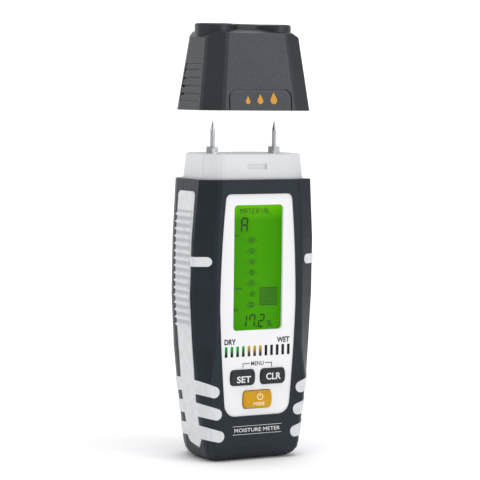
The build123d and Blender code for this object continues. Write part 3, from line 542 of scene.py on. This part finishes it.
crystals = segments("A", -7.3, 97.2, 2.7, 5.9, 0, 0.75, 0.06)
crystals += segments("1", -6.6, 56.8, 1.9, 5.0, 0, 0.7, 0.12)
crystals += segments("72", -3.0, 56.8, 2.4, 5.0, 4.5, 0.7, 0.12)
crystals += segments("MATERIAL", -7.8, 105.0, 1.25, 2.1, 1.93, 0.32)
crystals.append(bar(0.2, 0.85, 56.5, 57.15))
crystals.append(bar(-11.8, -6.7, 73.0, 73.4))
STACK_BARS = 9
STACK_LOW = 65.8
STACK_PITCH = 0.9
for number in range(STACK_BARS):
    low = STACK_LOW + number * STACK_PITCH
    crystals.append(bar(1.8, 10.9, low, low + 0.45 * STACK_PITCH))
SCALE_STEPS = 7
SCALE_LOW = 65.2
SCALE_PITCH = 4.58
for step in range(SCALE_STEPS):
    crystals += segments(f"-{step}0-", -4.7, SCALE_LOW + step * SCALE_PITCH, 1.0, 2.0, 1.45, 0.34)
flat_shapes("display_figures", crystals, glass_depth, "case", crystal_finish)
words = {
    "display_max": ("Max", (-11.6, -8.2, 95.4, 96.7)),
    "display_min": ("Min", (-11.2, -8.2, 63.6, 64.9)),
    "display_percent": ("%", (5.8, 8.2, 56.7, 59.3)),
}
for name, (word, box) in words.items():
    lettering(name, word, box, glass_depth, "case", crystal_finish, 0.004)

# The backlight behind the glass is a diffusing block, and the frame and contact strip hold the stack.
light_finish, place = new_finish("backlight_plastic")
dots = place.noise(0.6, detail=1.0).between(0.45, 0.55)
coat_surface(
    place,
    {
        "Base Color": dots.blend(colour(210, 235, 200), colour(235, 245, 230)),
        "Roughness": 0.3 + dots * 0.2,
        "Emission Color": colour(70, 190, 20),
        "Emission Strength": 0.4,
    },
)
dress(light_finish, "backlight")


def plain_finish(name, dark, light, roughness, spread, grain_mm=0.3, detail=2.0, relief_mm=None):
    """One tone with a fine grain that mottles its colour, its roughness and, with relief_mm, its skin."""
    material, place = new_finish(name)
    grain = place.noise(grain_mm, detail=detail)
    inputs = {"Base Color": grain.blend(dark, light), "Roughness": roughness + grain * spread}
    if relief_mm is None:
        coat_surface(place, inputs)
    else:
        coat_surface(place, inputs, relief=grain, relief_mm=relief_mm)
    return material


frame_finish = plain_finish(
    "frame_plastic", colour(228, 228, 226), colour(238, 238, 236), 0.4, 0.15, relief_mm=0.008
)
dress(frame_finish, "lcd_frame")
strip_finish, place = new_finish("contact_elastomer")
stripes = place.axis("X").wave(0.3)
coat_surface(
    place,
    {
        "Base Color": stripes.between(-0.2, 0.2).blend(colour(40, 40, 44), colour(150, 150, 155)),
        "Roughness": 0.7,
    },
)
dress(strip_finish, "contact_strip")

# ------------------------------------------------------------------ light bars of the dry to wet scale
# Twelve narrow windows stand in the panel. Four are green, three amber, and the rest are unlit.
# The chips sit behind their upper half, so each lit bar fades towards its foot.
bar_low, bar_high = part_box("green_bars")


def bar_finish(name, bright, dim, strength):
    """Lens that is bright at its top and dim at its foot."""
    material, place = new_finish(name)
    rise = place.axis("Z").between(bar_low.z, bar_high.z)
    haze = place.noise(0.5, detail=2.0)
    tone = (rise + (haze - 0.5) * 0.3).between(0.25, 1.0)
    coat_surface(
        place,
        {
            "Base Color": tone.blend(dim, bright),
            "Roughness": 0.25 + haze * 0.1,
            "Specular IOR Level": 0.25,
            "Emission Color": tone.blend(dim, bright),
            "Emission Strength": strength,
        },
    )
    return material


dress(bar_finish("green_lens", colour(14, 148, 40), colour(2, 20, 3), 0.4), "green_bars")
dress(bar_finish("amber_lens", colour(184, 146, 16), colour(50, 36, 4), 0.35), "amber_bars")
dress(bar_finish("dark_lens", colour(9, 9, 10), colour(4, 4, 5), 0.0), "dark_bars")

# ------------------------------------------------------------------ keys with their legends
# SET and CLR are dark grey rubber-topped keys, MODE is amber with a switch-on sign above its word.
# The rubber is shinier in patches, where fingers press, and the legends are printed on it.
key_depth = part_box("key_set")[0].y / MM


def key_finish(name, tone, touched):
    """Satin rubber, with patches that touch has polished."""
    material, place = new_finish(name)
    grain = place.noise(0.22, detail=3.0)
    shine = place.noise(4.0, detail=2.0).between(0.35, 0.7)
    coat_surface(
        place,
        {
            "Base Color": shine.blend(tone, touched),
            "Roughness": 0.5 - shine * 0.12 + grain * 0.1,
            "Specular IOR Level": 0.3,
        },
        relief=grain,
        relief_mm=0.008,
    )
    return material


dress(key_finish("key_rubber", colour(34, 38, 44), colour(40, 44, 50)), "key_set", "key_clr")
dress(key_finish("mode_rubber", colour(204, 150, 0), colour(210, 158, 6)), "key_mode")
key_words = {"set": ("SET", (-10.4, -3.6, 33.5, 36.3)), "clr": ("CLR", (3.9, 11.1, 34.2, 37.1))}
for key, (word, box) in key_words.items():
    lettering(f"legend_{key}", word, box, key_depth, f"{key}_key", white_ink, 0.018)
pale_ink = ink_finish("pale_ink", colour(246, 232, 196))
mode_box = (-2.2, 3.2, 23.4, 24.9)
lettering("legend_mode", "MODE", mode_box, key_depth, "mode_key", pale_ink, 0.02)
RING_BARS = 24


def ring_piece(centre_x, centre_z, radius, stroke, gap_degrees):
    """Outlines of an open ring, gap at the top, as short bars end to end."""
    outlines = []
    start = math.radians(90 + gap_degrees / 2)
    sweep = math.radians(360 - gap_degrees)
    for index in range(RING_BARS):
        corners = []
        for offset, along in ((-1, 0), (1, 0), (1, 1), (-1, 1)):
            angle = start + sweep * (index + along) / RING_BARS
            reach = radius + offset * stroke / 2
            corners.append((centre_x + reach * math.cos(angle), centre_z + reach * math.sin(angle)))
        outlines.append(corners)
    return outlines


power_sign = ring_piece(1.0, 27.2, 1.3, 0.36, 60) + [bar(0.81, 1.19, 27.2, 28.9)]
flat_shapes("legend_power", power_sign, key_depth, "mode_key", pale_ink)

# ------------------------------------------------------------------ electronics on the board
# Behind the display a green board carries the switches, chips, buzzer, light chips and capacitors.
# It is seen only when the housing is open, but it is finished like the rest.
board_finish, place = new_finish("board_laminate")
weave = place.noise(0.4, detail=2.0)
brick_inputs = {"Vector": place, "Scale": 180.0, "Mortar Size": 0.03}
tracks = place.node("ShaderNodeTexBrick", {}, brick_inputs, 1).clamped()
coat_surface(
    place,
    {
        "Base Color": (tracks * 0.7 + weave * 0.2).clamped().blend(colour(14, 92, 46), colour(30, 128, 66)),
        "Roughness": 0.3 + weave * 0.1,
    },
    relief=tracks,
    relief_mm=0.01,
)
dress(board_finish, "circuit_board")
package_finish = plain_finish(
    "electronics", colour(28, 28, 31), colour(42, 42, 46), 0.42, 0.15, 0.2, 3.0, relief_mm=0.006
)
dress(package_finish, "controller_chip", "buzzer", "capacitors", "chip_resistors", "test_resistor")
black_finish = plain_finish(
    "black_plastic", colour(22, 22, 24), colour(32, 32, 35), 0.5, 0.15, relief_mm=0.006
)
dress(black_finish, "led_baffle", "switch_bodies", "plunger_set", "plunger_clr", "plunger_mode")
chip_finish = plain_finish("led_package", colour(236, 232, 206), colour(248, 244, 222), 0.25, 0.1, 0.2)
dress(chip_finish, "led_chips")
sleeve_finish = plain_finish("lead_sleeve", colour(170, 24, 20), colour(190, 34, 28), 0.4, 0.1)
dress(sleeve_finish, "lead_left", "lead_right")

# ------------------------------------------------------------------ sensor head with its sockets
# The pale block on top is one moulding, clamped between the shells, with a brass socket under each pin.
# It is satin, and slightly greyer than the panel.
head_finish, place = new_finish("head_plastic")
grain = place.noise(0.25, detail=3.0)
coat_surface(
    place,
    {
        "Base Color": place.noise(12.0).between(0.3, 0.7).blend(colour(217, 219, 222), colour(223, 225, 228)),
        "Roughness": 0.38 + grain * 0.12,
    },
    relief=grain,
    relief_mm=0.006,
)
dress(head_finish, "sensor_head")
brass_finish, place = new_finish("brass")
turning = place.axis("Z").wave(0.12)
tarnish = place.noise(1.5, detail=4.0)
coat_surface(
    place,
    {
        "Base Color": tarnish.blend(colour(196, 160, 84), colour(222, 192, 120)),
        "Metallic": 1.0,
        "Roughness": 0.22 + tarnish * 0.18,
    },
    relief=turning,
    relief_mm=0.004,
)
dress(brass_finish, "socket_left", "socket_right", "test_contact_left", "test_contact_right")

# ------------------------------------------------------------------ measuring pins and their nuts
# Each needle is ground steel, held by a plated hex nut that screws into its socket.
# Fine scuffs break up the reflections of both. The battery contacts and screws share the needles' steel.
def bright_metal(name, dark, light, roughness, scuff_mm, relief_mm):
    """Plated or ground steel, with fine scuffs that break up its reflections."""
    material, place = new_finish(name)
    scuffs = place.noise(scuff_mm, detail=5.0, roughness=0.7)
    coat_surface(
        place,
        {
            "Base Color": scuffs.between(0.3, 0.7).blend(dark, light),
            "Metallic": 1.0,
            "Roughness": roughness + scuffs * 0.16,
        },
        relief=scuffs,
        relief_mm=relief_mm,
    )
    return material


steel_finish = bright_metal("ground_steel", colour(186, 188, 192), colour(214, 216, 219), 0.24, 0.7, 0.001)
dress(steel_finish, "needle_left", "needle_right", "battery_springs", "battery_contacts", "housing_screws")
nut_finish = bright_metal("plated_nut", colour(164, 166, 170), colour(208, 209, 212), 0.18, 1.6, 0.003)
dress(nut_finish, "nut_left", "nut_right")

# ------------------------------------------------------------------ protective cap and its badge
# The cap is moulded in the shells' plastic with a coarser grain. Its badge is three orange drops,
# small to large, printed inside the arched groove.
# The cap's edges carry the same painted highlight, in colour(46, 51, 58).
cap_finish = moulded_plastic(
    "cap_plastic", colour(18, 23, 28), colour(23, 28, 34), colour(46, 51, 58), 0.8, 0.08, 0.38, 0.62, 0.9
)
dress(cap_finish, "cap_shell")

orange_ink = ink_finish("orange_ink", colour(204, 140, 0))
cap_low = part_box("cap_shell")[0]
CAP_LEAN = 4.4 / 37.6  # how far the cap's front goes back as it rises
DROP_LOW = 151.3
DROP_STEPS = 16


def drop_outline(middle, low, tall):
    """Water drop in mm: round below, pointed above."""
    radius = tall * 0.32
    points = [(middle, low + tall)]
    for step in range(DROP_STEPS + 1):
        angle = math.radians(150 + step * 240 / DROP_STEPS)
        points.append((middle + radius * math.cos(angle), low + radius + radius * math.sin(angle)))
    return points


drops = []
for middle, tall in ((-6.0, 3.4), (0.0, 4.2), (6.6, 5.0)):
    drops.append(drop_outline(middle, DROP_LOW, tall))
badge = flat_shapes("badge_drops", drops, 0, "cap", orange_ink)
for vertex in badge.data.vertices:
    rise = vertex.co.z - cap_low.z
    vertex.co.y += cap_low.y + rise * CAP_LEAN

# ------------------------------------------------------------------ cells and rating label
# Two AAA cells lie head to tail, in dark sleeves with a copper-coloured band near the plus end.
# A silver film label on the back says in general words what the meter is and which cells it takes.
cell_low, cell_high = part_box("battery_left")
cell_finish, place = new_finish("cell_wrap")
rise = place.axis("Z").between(cell_low.z, cell_high.z)
left_cell = (0 - place.axis("X")).above(0.0)
from_plus = left_cell * (1 - rise) + (1 - left_cell) * rise
band = from_plus.above(0.06) * (1 - from_plus.above(0.3))
metal = 1 - from_plus.above(0.045)
print_grain = place.noise(0.5)
sleeve = band.blend(colour(34, 36, 42), colour(196, 150, 70))
coat_surface(
    place,
    {
        "Base Color": metal.blend(sleeve, colour(205, 206, 208)),
        "Metallic": metal,
        "Roughness": 0.25 + print_grain * 0.1,
    },
)
dress(cell_finish, "battery_left", "battery_right")

film_finish, place = new_finish("label_film")
brushed = place.noise(0.4, detail=3.0)
coat_surface(
    place,
    {
        "Base Color": brushed.blend(colour(176, 178, 182), colour(190, 192, 196)),
        "Roughness": 0.35 + brushed * 0.1,
    },
    relief=brushed,
    relief_mm=0.003,
)
dress(film_finish, "rating_label")
label_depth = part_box("rating_label")[1].y / MM
label_rows = {
    "label_kind": ("PIN MOISTURE METER", (-12.6, 12.6, 100.3, 102.3)),
    "label_cells": ("2 x AAA   1.5 V", (-12.6, 4.0, 96.6, 98.2)),
    "label_use": ("WOOD AND BUILDING MATERIALS", (-12.6, 12.6, 91.6, 92.9)),
}
for name, (word, box) in label_rows.items():
    lettering(name, word, box, label_depth, "case", black_ink, 0.0, facing=1)
label_rule = [bar(-12.6, 12.6, 94.6, 94.85)]
flat_shapes("label_rule", label_rule, label_depth, "case", black_ink, facing=1)
